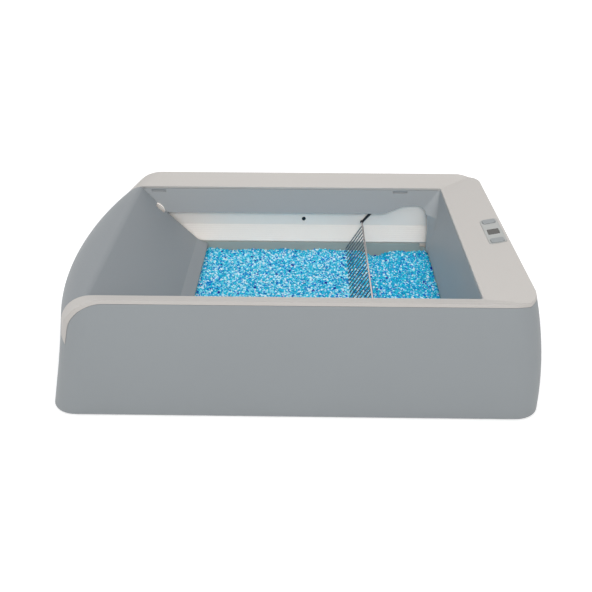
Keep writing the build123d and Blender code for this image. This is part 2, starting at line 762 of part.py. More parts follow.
def make_rake_tines(rod):
    """Row of thin tines, welded under the rod."""
    dx = TINE_TIP_X - ROD_X
    dz = TINE_TIP_HEIGHT + TINE_RADIUS - ROD_HEIGHT
    length = sqrt(dx * dx + dz * dz)
    tines = []
    for i in range(TINE_COUNT):
        y = -TINE_SPAN / 2 + TINE_SPAN * i / (TINE_COUNT - 1)
        place = Plane(origin=(ROD_X, y, ROD_HEIGHT), z_dir=(dx, 0, dz))
        tine = extrude(place * Circle(TINE_RADIUS), length)
        tip = tine.edges().filter_by(GeomType.CIRCLE).sort_by(Axis.Z)[0]
        tines.append(fillet(tip, TINE_RADIUS * 0.8) - rod)
    return Compound(children=tines)


def pinion_outline_teeth():
    """Teeth of the drive pinion, the first one straight down."""
    teeth = []
    root = PINION_RADIUS - TOOTH_ROOT - 0.5
    tip = PINION_RADIUS + TOOTH_HEIGHT
    for i in range(PINION_TEETH):
        tooth = slab(-TOOTH_WIDTH / 2, TOOTH_WIDTH / 2, 0, PINION_THICK, -tip, -root)
        top = tooth.edges().filter_by(Axis.Y).group_by(Axis.Z)[0]
        tooth = fillet(top, TOOTH_WIDTH / 3)
        teeth.append(Rot(0, 360 * i / PINION_TEETH, 0) * tooth)
    return teeth


def make_drive_pinion():
    """Pinion on its short shaft, which runs in the gearbox."""
    root = PINION_RADIUS - TOOTH_ROOT
    gear = rod_y(0, 0, PINION_THICK, 0, root)
    for tooth in pinion_outline_teeth():
        gear += tooth
    shaft_end = CARRIAGE_OUTER - PINION_PLANE - 3
    gear += rod_y(0, 0, shaft_end, 0, SHAFT_RADIUS)
    return Pos(CARRIAGE_X, PINION_PLANE, PINION_HEIGHT) * gear


def make_drive_rack():
    """Toothed rack that stands on the chassis under the pinion."""
    pitch_line = PINION_HEIGHT - PINION_RADIUS
    tooth_top = pitch_line + TOOTH_ROOT - 1.2
    tooth_root = pitch_line - TOOTH_HEIGHT - 1.0
    left = CARRIAGE_X - RAKE_LEFT_TRAVEL - RACK_OVERRUN
    right = CARRIAGE_X + RAKE_RIGHT_TRAVEL + RACK_OVERRUN
    y0 = PINION_PLANE - (RACK_THICK - PINION_THICK) / 2
    rack = slab(left, right, y0, y0 + RACK_THICK, CHASSIS_TOP, tooth_root)
    x = CARRIAGE_X + RACK_PITCH / 2
    while x - RACK_PITCH > left + RACK_TOOTH_WIDTH:
        x -= RACK_PITCH
    while x < right - RACK_TOOTH_WIDTH:
        rack += slab(
            x - RACK_TOOTH_WIDTH / 2, x + RACK_TOOTH_WIDTH / 2,
            y0, y0 + RACK_THICK,
            tooth_root - 0.5, tooth_top,
        )
        x += RACK_PITCH
    return rack


def make_gearbox():
    """Gearbox that hangs from the back carriage beside the pinion."""
    half = CARRIAGE_LENGTH / 2
    box = slab(
        CARRIAGE_X - half, CARRIAGE_X + half,
        PINION_PLANE + PINION_THICK + GEARBOX_GAP, CARRIAGE_OUTER,
        GEARBOX_FOOT, CARRIAGE_FOOT,
    )
    box = fillet(box.edges().filter_by(Axis.Y), 4)
    shaft_end = CARRIAGE_OUTER - 3 + 0.3
    return box - rod_y(CARRIAGE_X, PINION_PLANE, shaft_end, PINION_HEIGHT, SHAFT_RADIUS + PIN_CLEARANCE)


def make_drive_motor():
    """Small motor can on the gearbox's right side."""
    x = CARRIAGE_X + CARRIAGE_LENGTH / 2
    y = (PINION_PLANE + PINION_THICK + GEARBOX_GAP + CARRIAGE_OUTER) / 2
    z = PINION_HEIGHT + 4
    can = rod_x(x, x + MOTOR_LENGTH, y, z, MOTOR_RADIUS)
    can = fillet(can.edges().filter_by(GeomType.CIRCLE).group_by(Axis.X)[-1], 1.5)
    return can + rod_x(x + MOTOR_LENGTH - 1, x + MOTOR_LENGTH + 2, y, z, 3)


def make_flap():
    """Flap that hangs in the mouth of the waste trap on two pins."""
    half = SKIRT_HALF_WIDTH - FLAP_SIDE_GAP
    t = FLAP_THICK
    panel = slab(
        PIVOT_X - t / 2, PIVOT_X + t / 2,
        -half, half,
        FLAP_FOOT, PIVOT_HEIGHT - 2,
    )
    barrel = rod_y(PIVOT_X, -half, half, PIVOT_HEIGHT, PIN_RADIUS + 1.5)
    hubs = rod_y(PIVOT_X, half - 5, half, PIVOT_HEIGHT, HUB_RADIUS)
    hubs += rod_y(PIVOT_X, -half, -half + 5, PIVOT_HEIGHT, HUB_RADIUS)
    reach = SKIRT_HALF_WIDTH + SKIRT_THICK + 1.5
    pins = rod_y(PIVOT_X, -reach, reach, PIVOT_HEIGHT, PIN_RADIUS)
    return panel + barrel + hubs + pins


def make_pivot_ring():
    """Pale ring round a flap pin, flat against the cheek of the skirt."""
    y0 = SKIRT_HALF_WIDTH - PIVOT_RING_THICK
    ring = rod_y(PIVOT_X, y0, SKIRT_HALF_WIDTH + 8, PIVOT_HEIGHT, PIVOT_RING_RADIUS)
    ring -= rod_y(PIVOT_X, y0 - 1, SKIRT_HALF_WIDTH + 9, PIVOT_HEIGHT, PIVOT_RING_BORE)
    return ring & between_skirts(0, -LENGTH, LENGTH)


def make_panel_parts():
    """Fascia, housing, board, display, switches and the two buttons."""
    floor = PANEL_PROUD - PANEL_THICK
    fascia = deck_plate(0, 0, floor, PANEL_PROUD, PANEL_WIDTH, PANEL_LENGTH, PANEL_ROUND)
    fascia -= deck_plate(
        0, DISPLAY_Y, floor - 1, PANEL_PROUD + 1,
        DISPLAY_WIDTH + 2 * PANEL_GAP, DISPLAY_LENGTH + 2 * PANEL_GAP, 1,
    )
    housing = deck_plate(
        0, 0, floor - HOUSING_DEPTH, floor,
        PANEL_WIDTH + 2 * HOUSING_SIDE, PANEL_LENGTH + 2 * HOUSING_END, PANEL_ROUND,
    )
    cavity_width = PANEL_WIDTH - 2 * HOUSING_LEDGE
    cavity_length = PANEL_LENGTH - 2 * HOUSING_LEDGE
    housing -= deck_plate(
        0, 0, floor - HOUSING_DEPTH + HOUSING_WALL, floor + 1,
        cavity_width, cavity_length, PANEL_ROUND - HOUSING_LEDGE,
    )
    board_top = floor - BOARD_DEPTH
    board = deck_plate(
        0, 0, board_top - BOARD_THICK, board_top,
        cavity_width - 2 * PANEL_GAP, cavity_length - 2 * PANEL_GAP, 2,
    )
    module = deck_plate(0, DISPLAY_Y, board_top, floor - 0.5, DISPLAY_WIDTH, DISPLAY_LENGTH, 0.8)
    lens = deck_plate(0, DISPLAY_Y, floor - 0.5, PANEL_PROUD - 0.25, DISPLAY_WIDTH, DISPLAY_LENGTH, 0.8)
    switches = []
    buttons = {}
    for name, side in (("button_top", 1), ("button_bottom", -1)):
        v = side * BUTTON_SPACING
        fascia -= deck_plate(
            0, v, floor - 1, PANEL_PROUD + 1,
            BUTTON_WIDTH + 2 * PANEL_GAP, BUTTON_LENGTH + 2 * PANEL_GAP, BUTTON_ROUND,
        )
        crown = PANEL_PROUD + BUTTON_PROUD
        button = deck_plate(
            0, v, crown - BUTTON_HEIGHT, crown,
            BUTTON_WIDTH, BUTTON_LENGTH, BUTTON_ROUND - PANEL_GAP,
        )
        up = deck_place(0, v, 0).z_dir
        top_face = button.faces().sort_by(Axis((0, 0, 0), (up.X, up.Y, up.Z)))[-1]
        buttons[name] = fillet(top_face.edges(), 0.7)
        switch_top = crown - BUTTON_HEIGHT - BUTTON_TRAVEL - 0.15
        switches.append(extrude(deck_place(0, v, board_top) * Circle(SWITCH_RADIUS), switch_top - board_top))
    return {
        "control_fascia": fascia,
        "control_housing": housing,
        "control_board": board,
        "display_module": module,
        "display_lens": lens,
        "key_switches": Compound(children=switches),
        "button_top": buttons["button_top"],
        "button_bottom": buttons["button_bottom"],
    }


def make_sensor():
    """Round sensor in the liner, just under the skirt."""
    body = rod_y(SENSOR_X, LINER_PLANE - 0.5, LINER_PLANE - 0.5 + SENSOR_LENGTH, SENSOR_HEIGHT, SENSOR_RADIUS)
    return fillet(body.edges().filter_by(GeomType.CIRCLE), 0.3)


def make_power_jack():
    """Round socket for a low-voltage plug, in the back wall."""
    y1 = HALF_WIDTH - 2.0
    body = rod_y(JACK_X, y1 - JACK_LENGTH, y1, JACK_HEIGHT, JACK_RADIUS)
    body -= rod_y(JACK_X, y1 - JACK_LENGTH + 4, y1 + 1, JACK_HEIGHT, JACK_BORE)
    return body + rod_y(JACK_X, y1 - JACK_LENGTH + 2, y1 - 3, JACK_HEIGHT, 0.9)


def make_feet():
    """Rubber feet under the chassis plate."""
    feet = []
    for x in (FOOT_LEFT_X, FOOT_MIDDLE_X, FOOT_RIGHT_X):
        for side in (1, -1):
            y = side * (RAIL_PLANE - 3) if x > FOOT_LEFT_X else side * RAIL_PLANE * 0.7
            foot = Pos(x, y, CHASSIS_LEVEL / 2) * Cylinder(FOOT_RADIUS, CHASSIS_LEVEL)
            feet.append(fillet(foot.edges().group_by(Axis.Z)[0], 1.0))
    return Compound(children=feet)


# Every node, by the name of its file
nodes = {
    "litter_tray": make_litter_tray(),
    "litter_bed": make_litter_bed(),
    "outer_shell": make_outer_shell(),
    "top_bezel": make_top_bezel(),
    "waste_hood": make_waste_hood(),
    "inner_skirt": make_inner_skirt(),
    "chassis_plate": make_chassis(),
    "waste_flap": make_flap(),
    "drive_pinion": make_drive_pinion(),
    "drive_rack": make_drive_rack(),
    "gearbox": make_gearbox(),
    "drive_motor": make_drive_motor(),
    "power_jack": make_power_jack(),
    "rubber_feet": make_feet(),
}
nodes["liner_back"], nodes["liner_front"] = both_sides(make_side_liner)
nodes["sensor_back"], nodes["sensor_front"] = both_sides(make_sensor)
nodes["guide_rail_back"], nodes["guide_rail_front"] = both_sides(make_guide_rail)
nodes["carriage_back"], nodes["carriage_front"] = both_sides(make_carriage)
nodes["rake_arm_back"], nodes["rake_arm_front"] = both_sides(make_rake_arm)
nodes["pivot_ring_back"], nodes["pivot_ring_front"] = both_sides(make_pivot_ring)
nodes["rake_rod"] = make_rake_rod()
nodes["rake_tines"] = make_rake_tines(nodes["rake_rod"])
nodes["rail_brackets"] = Compound(children=[make_bracket(x, y) for x, y in bracket_places()])
nodes["bracket_screws"] = Compound(children=[make_screw(x, y) for x, y in bracket_places()])
nodes.update(make_panel_parts())

for name, shape in nodes.items():
    export_step(shape, f"parts/{name}.step")
    print(name, "solids", len(shape.solids()), "volume", round(shape.volume, 1))
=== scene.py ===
# %% [markdown]
# # A self-cleaning litter box, dressed for its picture
# The box has a grey outer wall, a pale band round its opening, a hooded waste
# trap, a powered rake and a tray of blue and white crystal litter. The solid
# pieces come ready made from the frame, so this lesson is about finishes, the
# loose litter, and light. Every length is in metres.

# %% Load the frame
import math
import random

import bmesh
import bpy
from mathutils import Matrix, Vector


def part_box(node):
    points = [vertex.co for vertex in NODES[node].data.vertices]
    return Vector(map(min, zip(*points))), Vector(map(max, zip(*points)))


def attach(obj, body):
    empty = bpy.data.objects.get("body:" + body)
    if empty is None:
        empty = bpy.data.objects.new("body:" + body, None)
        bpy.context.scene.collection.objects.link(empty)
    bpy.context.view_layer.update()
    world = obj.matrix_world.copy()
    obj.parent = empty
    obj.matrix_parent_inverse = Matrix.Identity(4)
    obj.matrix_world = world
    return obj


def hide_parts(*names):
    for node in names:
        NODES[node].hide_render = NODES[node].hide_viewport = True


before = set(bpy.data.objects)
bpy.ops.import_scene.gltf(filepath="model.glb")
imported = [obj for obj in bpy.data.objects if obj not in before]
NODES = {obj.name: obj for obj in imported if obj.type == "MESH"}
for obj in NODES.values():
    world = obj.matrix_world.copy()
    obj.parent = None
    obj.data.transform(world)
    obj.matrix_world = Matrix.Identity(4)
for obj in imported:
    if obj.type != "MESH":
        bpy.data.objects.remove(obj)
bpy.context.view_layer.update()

MM = 0.001
scene = bpy.context.scene

# %% [markdown]
# ## The camera
# The picture was taken from in front and above, a little to the right of the
# middle. A camera looks along its own -Z with +Y up, so the three turns are
# written as a heading, a tilt and a small roll, and the matrix is their product.

# %% Place the camera
CAMERA_PLACE = (0.0218, -1.0729, 0.6723)
CAMERA_HEADING = 0.856
CAMERA_TILT = 30.015
CAMERA_ROLL = 0.145
LENS_MM = 46.636
SENSOR_MM = 36.0
NEAREST_SEEN = 10 * MM


def add_object(name, data):
    """A new object in the scene, at the origin."""
    made = bpy.data.objects.new(name, data)
    scene.collection.objects.link(made)
    return made


def place_camera():
    """A camera at the picture's viewpoint."""
    data = bpy.data.cameras.new("camera")
    data.lens = LENS_MM
    data.sensor_width = SENSOR_MM
    data.clip_start = NEAREST_SEEN
    camera = add_object("camera", data)
    matrix = Matrix.Translation(CAMERA_PLACE)
    for degrees, axis in ((CAMERA_HEADING, "Z"), (90 - CAMERA_TILT, "X"), (CAMERA_ROLL, "Z")):
        matrix = matrix @ Matrix.Rotation(math.radians(degrees), 4, axis)
    camera.matrix_world = matrix
    scene.camera = camera


place_camera()
print("camera at", CAMERA_PLACE, "lens", LENS_MM)

# %% [markdown]
# ## The white surround
# The picture's background is plain white, but that much light from all round
# would wash the object out. So the world is white only to the rays that reach it
# from the camera, a mirror or glass, and lights things at a lower level. The
# Light Path node tells these rays apart, and plain maths nodes join its answers.

# %% Build the world
scene.view_settings.view_transform = "Standard"
WORLD_LIGHT = 0.4
WHITE = (1, 1, 1, 1)


def feed(tree, socket, value):
    """Links a socket to another node's output, or gives it a plain value."""
    if isinstance(value, bpy.types.NodeSocket):
        tree.links.new(value, socket)
    else:
        socket.default_value = value


def math_node(tree, operation, a, b):
    """A two-input maths node; a and b are sockets or numbers."""
    node = tree.nodes.new("ShaderNodeMath")
    node.operation = operation
    feed(tree, node.inputs[0], a)
    feed(tree, node.inputs[1], b)
    return node.outputs[0]


def map_range(tree, value, start, end, low, high):
    """The value, with start to end turned into low to high."""
    node = tree.nodes.new("ShaderNodeMapRange")
    given = {"Value": value, "From Min": start, "From Max": end, "To Min": low, "To Max": high}
    for label, setting in given.items():
        feed(tree, node.inputs[label], setting)
    return node.outputs["Result"]


def seen_directly(tree):
    """1 for camera, mirror and glass rays, and 0 for the light that falls on things."""
    rays = tree.nodes.new("ShaderNodeLightPath").outputs
    mirrored = math_node(tree, "MAXIMUM", rays["Is Camera Ray"], rays["Is Glossy Ray"])
    return math_node(tree, "MAXIMUM", mirrored, rays["Is Transmission Ray"])


def build_world():
    """An even white surround."""
    world = bpy.data.worlds.new("studio")
    world.use_nodes = True
    tree = world.node_tree
    background = tree.nodes["Background"]
    background.inputs["Color"].default_value = WHITE
    level = map_range(tree, seen_directly(tree), 0.0, 1.0, WORLD_LIGHT, 1.0)
    feed(tree, background.inputs["Strength"], level)
    scene.world = world


build_world()
print("world:", scene.world.name, "lights at", WORLD_LIGHT)

# %% [markdown]
# ## The floor
# The object stands on white paper. The paper glows for the same direct rays,
# which turns it white in the picture and lights nothing, and its plain surface
# under the glow keeps the object's shadow. The glow grows with the distance, so
# that the paper meets the background without a line.

# %% Build the floor
FLOOR_HALF = 6.0
FLOOR_COLOUR = (0.86, 0.86, 0.86, 1)
FLOOR_ROUGHNESS = 0.9
FLOOR_SHINE = 0.1
FLOOR_GLOW = 0.34
FLOOR_GLOW_FAR = 0.95
GLOW_START = 0.5
GLOW_END = 2.5


def new_material(name):
    """A material with nodes, its tree and its Principled shader."""
    material = bpy.data.materials.new(name)
    material.use_nodes = True
    tree = material.node_tree
    return material, tree, tree.nodes["Principled BSDF"]


def object_place(tree):
    """Object coordinates, which a pattern reads."""
    return tree.nodes.new("ShaderNodeTexCoord").outputs["Object"]


def floor_paper():
    """White paper that glows for direct rays, more so far from the object."""
    material, tree, shader = new_material("floor_paper")
    shader.inputs["Base Color"].default_value = FLOOR_COLOUR
    shader.inputs["Roughness"].default_value = FLOOR_ROUGHNESS
    shader.inputs["Specular IOR Level"].default_value = FLOOR_SHINE
    shader.inputs["Emission Color"].default_value = WHITE
    reach = tree.nodes.new("ShaderNodeVectorMath")
    reach.operation = "LENGTH"
    feed(tree, reach.inputs[0], object_place(tree))
    away = reach.outputs["Value"]
    glow = map_range(tree, away, GLOW_START, GLOW_END, FLOOR_GLOW, FLOOR_GLOW_FAR)
    seen = math_node(tree, "MULTIPLY", seen_directly(tree), glow)
    feed(tree, shader.inputs["Emission Strength"], seen)
    return material


def build_floor():
    """A flat white floor."""
    mesh = bpy.data.meshes.new("floor")
    corners = [(-1, -1), (1, -1), (1, 1), (-1, 1)]
    places = [(FLOOR_HALF * x, FLOOR_HALF * y, 0.0) for x, y in corners]
    mesh.from_pydata(places, [], [(0, 1, 2, 3)])
    mesh.materials.append(floor_paper())
    floor = add_object("floor", mesh)


build_floor()
print("floor:", 2 * FLOOR_HALF, "m across")

# %% [markdown]
# ## The lamps
# Broad soft lamps make short, pale shadows. One hangs over the object, one
# stands behind the camera, and a weak one at the left lights the hood's rounded
# end. An area lamp shines along its own -Z, so each is turned towards the same
# point of the object with to_track_quat.

# %% Add the lamps
LAMP_TARGET = (0, 0, 0.1)
# Place, side of the square lamp and power in watts
LAMPS = {
    "top_softbox": ((0.1, 0.0, 2.2), 1.8, 22.0),
    "front_softbox": ((0.1, -2.1, 1.5), 1.6, 27.0),
    "left_softbox": ((-2.2, -0.2, 1.2), 1.4, 4.0),
}


def add_lamp(name, place, size, power):
    """A square soft lamp that faces the object."""
    data = bpy.data.lights.new(name, "AREA")
    data.size = size
    data.energy = power
    lamp = add_object(name, data)
    aim = (Vector(LAMP_TARGET) - Vector(place)).to_track_quat("-Z", "Y")
    lamp.matrix_world = Matrix.Translation(place) @ aim.to_matrix().to_4x4()


for lamp_name, (place, size, power) in LAMPS.items():
    add_lamp(lamp_name, place, size, power)
print("lamps:", sorted(LAMPS))

# %% [markdown]
# ## Tools for surface patterns
# A surface pattern is made of a few noises that are added, multiplied and mixed
# into colours. Written node by node that takes a page for each material, so each
# of these steps is a short function. The patterns read Object coordinates, which
# stay with a piece when it moves.

# %% Write the pattern tools


def times(tree, a, b):
    """The product of two sockets or numbers."""
    return math_node(tree, "MULTIPLY", a, b)


def plus(tree, a, b):
    """The sum of two sockets or numbers."""
    return math_node(tree, "ADD", a, b)


def minus(tree, a, b):
    """The difference of two sockets or numbers."""
    return math_node(tree, "SUBTRACT", a, b)


def noise_node(tree, vector, scale, detail=2.0, roughness=0.5):
    """Noise with its middle near 0.5."""
    node = tree.nodes.new("ShaderNodeTexNoise")
    node.inputs["Detail"].default_value = detail
    node.inputs["Roughness"].default_value = roughness
    feed(tree, node.inputs["Scale"], scale)
    feed(tree, node.inputs["Vector"], vector)
    return node.outputs["Fac"]


def colour_sockets(sockets):
    """The colour sockets of a mix node, which has one set for each kind of value."""
    return [socket for socket in sockets if socket.type == "RGBA"]


def rgba_mix(tree, factor, a, b, blend="MIX"):
    """Colour a mixed with colour b by a factor."""
    node = tree.nodes.new("ShaderNodeMix")
    node.data_type = "RGBA"
    node.blend_type = blend
    first, second = colour_sockets(node.inputs)
    for socket, value in ((node.inputs[0], factor), (first, a), (second, b)):
        feed(tree, socket, value)
    return colour_sockets(node.outputs)[0]


def add_bump(tree, shader, height, distance, strength=1.0):
    """Lets a height pattern tilt the shader's normal."""
    bump = tree.nodes.new("ShaderNodeBump")
    bump.inputs["Distance"].default_value = distance
    bump.inputs["Strength"].default_value = strength
    feed(tree, bump.inputs["Height"], height)
    feed(tree, shader.inputs["Normal"], bump.outputs["Normal"])


def new_group(name, inputs, outputs):
    """An empty shader group: inputs are (name, kind, default), outputs (name, kind)."""
    group = bpy.data.node_groups.new(name, "ShaderNodeTree")
    for label, kind, default in inputs:
        socket = group.interface.new_socket(label, in_out="INPUT", socket_type=kind)
        socket.default_value = default
    for label, kind in outputs:
        group.interface.new_socket(label, in_out="OUTPUT", socket_type=kind)
    return group


print("pattern tools written")

# %% [markdown]
# ## A moulded finish shared by all the plastics
# Injection moulded plastic is never one flat colour. It has a fine etched grain
# that breaks up the highlights, faint broad clouds in the colour, and a little
# dust that settles on faces that point up. One node group holds all of that,
# and each material puts it in with its own colour and values.

# %% Build the moulded finish group
CLOUD_SCALE = 7.0
CLOUD_DETAIL = 3.0
STREAK_SCALE = 60.0
STREAK_DETAIL = 4.0
STREAK_SHARE = 0.4
PATTERN_MIDDLE = 0.7
PIT_SCALE = 380.0
COARSE = 0.6
SPECK_SHARE = 0.05
ROUGHNESS_SWING = 0.12
GRAIN_SHARE = 0.7
PIT_SHARE = 0.3
DUST_COLOUR = (0.82, 0.81, 0.79, 1)
DUST_FOCUS = 3.0
DUST_ROUGHNESS = 0.8


def build_moulded_finish():
    """Colour, roughness and relief of moulded plastic."""
    tree = new_group(
        "moulded_finish",
        [
            ("Colour", "NodeSocketColor", (0.5, 0.5, 0.5, 1)),
            ("Clouding", "NodeSocketFloat", 0.04),
            ("Roughness", "NodeSocketFloat", 0.45),
            ("Grain Size", "NodeSocketFloat", 1400.0),
            ("Grain Depth", "NodeSocketFloat", 1.0),
            ("Dust", "NodeSocketFloat", 0.05),
        ],
        [
            ("Colour", "NodeSocketColor"),
            ("Roughness", "NodeSocketFloat"),
            ("Height", "NodeSocketFloat"),
        ],
    )
    given = tree.nodes.new("NodeGroupInput").outputs
    result = tree.nodes.new("NodeGroupOutput").inputs
    place = object_place(tree)
    clouds = noise_node(tree, place, CLOUD_SCALE, CLOUD_DETAIL)
    streaks = noise_node(tree, place, STREAK_SCALE, STREAK_DETAIL, COARSE)
    grain = noise_node(tree, place, given["Grain Size"], 2.0, COARSE)
    pits = noise_node(tree, place, PIT_SCALE)

    # The colour swings with clouds and streaks, and each speck of grain shades it
    swing = minus(tree, plus(tree, clouds, times(tree, streaks, STREAK_SHARE)), PATTERN_MIDDLE)
    shade = plus(tree, times(tree, swing, given["Clouding"]), 1.0)
    shade = plus(tree, shade, times(tree, minus(tree, grain, 0.5), SPECK_SHARE))
    tint = tree.nodes.new("ShaderNodeCombineColor")
    for channel in range(3):
        feed(tree, tint.inputs[channel], shade)
    coloured = rgba_mix(tree, 1.0, given["Colour"], tint.outputs[0], "MULTIPLY")

    # Dust lies in the pits of faces that point up
    normal = tree.nodes.new("ShaderNodeSeparateXYZ")
    facing = tree.nodes.new("ShaderNodeNewGeometry").outputs["Normal"]
    feed(tree, normal.inputs[0], facing)
    above = math_node(tree, "MAXIMUM", normal.outputs["Z"], 0.0)
    upward = math_node(tree, "POWER", above, DUST_FOCUS)
    dusty = times(tree, times(tree, upward, pits), given["Dust"])
    feed(tree, result["Colour"], rgba_mix(tree, dusty, coloured, DUST_COLOUR))

    rough = plus(tree, given["Roughness"], times(tree, swing, ROUGHNESS_SWING))
    rough = plus(tree, rough, times(tree, dusty, DUST_ROUGHNESS))
    feed(tree, result["Roughness"], rough)
    relief = plus(tree, times(tree, grain, GRAIN_SHARE), times(tree, pits, PIT_SHARE))
    feed(tree, result["Height"], times(tree, relief, given["Grain Depth"]))
    return tree


MOULDED = build_moulded_finish()
print("group:", MOULDED.name, "sockets", len(MOULDED.interface.items_tree))

# %% [markdown]
# ## The plastics
# Nearly all of the box is moulded plastic: greys for the walls, a warm pale grey
# for the band, near white for the liners. Each is the same recipe with other
# values, so one function makes them all. The colours are written as they look on
# a screen, and a helper turns them to linear light.

# %% Make the plastics
GRAIN_RELIEF = 0.06 * MM
GRAIN_STRENGTH = 0.6


def linear(red, green, blue):
    """Screen colour, 0 to 255, as linear light."""
    result = []
    for value in (red, green, blue):
        share = value / 255
        result.append(share / 12.92 if share <= 0.04045 else ((share + 0.055) / 1.055) ** 2.4)
    return (*result, 1.0)


def plastic(name, colour, roughness, clouding, grain=1400.0, depth=1.0, dust=0.04, gloss=0.5):
    """A moulded plastic with its own colour and grain."""
    material, tree, shader = new_material(name)
    finish = tree.nodes.new("ShaderNodeGroup")
    finish.node_tree = MOULDED
    values = {
        "Colour": colour,
        "Clouding": clouding,
        "Roughness": roughness,
        "Grain Size": grain,
        "Grain Depth": depth,
        "Dust": dust,
    }
    for label, value in values.items():
        finish.inputs[label].default_value = value
    feed(tree, shader.inputs["Base Color"], finish.outputs["Colour"])
    feed(tree, shader.inputs["Roughness"], finish.outputs["Roughness"])
    add_bump(tree, shader, finish.outputs["Height"], GRAIN_RELIEF, GRAIN_STRENGTH)
    shader.inputs["Specular IOR Level"].default_value = gloss
    return material


SHELL_GREY = plastic("shell_grey", linear(140, 145, 148), 0.5, 0.06)
# The hood's grey is the shell's grey darkened to paint the shade that lies on the hood; the
# hidden frame pieces share it.
SHADE_DARKENED_GREY = plastic("shade_darkened_grey", linear(130, 135, 139), 0.48, 0.06)
SKIRT_GREY = plastic("skirt_grey", linear(158, 161, 163), 0.5, 0.05)
BEZEL_PALE = plastic("bezel_pale", linear(189, 185, 181), 0.5, 0.04)
LINER_PALE = plastic("liner_pale", linear(250, 241, 233), 0.38, 0.03)
TRAY_GREY = plastic("tray_grey", linear(166, 171, 165), 0.5, 0.08)
FASCIA_PALE = plastic("fascia_pale", linear(168, 170, 168), 0.35, 0.02, gloss=0.55)
KEY_GREY = plastic("key_grey", linear(140, 144, 146), 0.42, 0.03)
BLACK = plastic("soft_black", linear(34, 34, 36), 0.5, 0.2, dust=0.02)
LENS_BLACK = plastic("lens_black", linear(20, 20, 22), 0.18, 0.1, dust=0.01)
GEAR_WHITE = plastic("gear_white", linear(222, 219, 206), 0.4, 0.05)
BOARD_GREEN = plastic("board_green", linear(28, 92, 54), 0.35, 0.25)
RUBBER = plastic(
    "foot_rubber", linear(40, 40, 41), 0.8, 0.3, grain=900.0, depth=2.0, dust=0.1, gloss=0.3
)
DISPLAY_GLASS = plastic(
    "display_glass", linear(52, 49, 45), 0.12, 0.06, depth=0.1, dust=0.02, gloss=0.7
)
print("plastics:", [m.name for m in bpy.data.materials if m.name != "floor_paper"])

# %% [markdown]
# ## The metals
# The rake's rod is bright plated steel, tinted pink to paint its reddish glint,
# and its tines are darker drawn wire with fine lines along their length and faint
# staining. Noise that a Mapping node stretches along one axis gives such lines,
# and a second noise stains.

# %% Make the metals
LINE_SCALE = 900.0
LINE_DETAIL = 3.0
LINE_MIDDLE = 0.4
LINE_ROUGHNESS = 0.25
LINE_RELIEF = 0.03 * MM
LINE_STRENGTH = 0.5
STAIN_SCALE = 90.0
STAIN_DETAIL = 4.0
STAIN_START = 0.45
STAIN_DARKNESS = 0.55


def metal(name, colour, roughness, stretch, wear=0.3):
    """A bare metal with fine lines along X, Y or Z and uneven dulling."""
    material, tree, shader = new_material(name)
    shader.inputs["Metallic"].default_value = 1.0
    place = object_place(tree)
    mapping = tree.nodes.new("ShaderNodeMapping")
    mapping.inputs["Scale"].default_value = stretch
    feed(tree, mapping.inputs["Vector"], place)
    lines = noise_node(tree, mapping.outputs["Vector"], LINE_SCALE, LINE_DETAIL, COARSE)
    stain = noise_node(tree, place, STAIN_SCALE, STAIN_DETAIL, COARSE)
    dull = math_node(tree, "MAXIMUM", times(tree, minus(tree, stain, STAIN_START), wear), 0.0)
    dark = tuple(c * STAIN_DARKNESS for c in colour[:3]) + (1.0,)
    feed(tree, shader.inputs["Base Color"], rgba_mix(tree, dull, colour, dark))
    rough = plus(tree, roughness, times(tree, minus(tree, lines, LINE_MIDDLE), LINE_ROUGHNESS))
    feed(tree, shader.inputs["Roughness"], rough)
    add_bump(tree, shader, lines, LINE_RELIEF, LINE_STRENGTH)
    return material


# The rod's warm pink tint is a painted reflection of the reddish glint on it.
ROD_STEEL_GLINT_TINTED = metal("rod_plated_glint_tint", linear(222, 206, 202), 0.16, (1, 0.04, 1))
TINE_STEEL = metal("tine_wire", linear(120, 122, 126), 0.34, (1, 1, 0.05), 0.6)
RAIL_STEEL = metal("rail_steel", linear(186, 187, 190), 0.25, (0.04, 1, 1))
MOTOR_STEEL = metal("motor_can", linear(160, 160, 162), 0.32, (0.04, 1, 1))
SCREW_STEEL = metal("screw_steel", linear(150, 150, 152), 0.35, (1, 1, 1))
print("metals:", [m.name for m in (ROD_STEEL_GLINT_TINTED, TINE_STEEL, RAIL_STEEL, MOTOR_STEEL, SCREW_STEEL)])

# %% [markdown]
# ## The solid pieces
# The frame's pieces have their real shapes already, so each only gets its
# finish, in its mesh's own material slot. The hidden ones get theirs too,
# because some of them show when the frame is lifted off. The litter's plain
# block is left out: loose grains stand for it below.

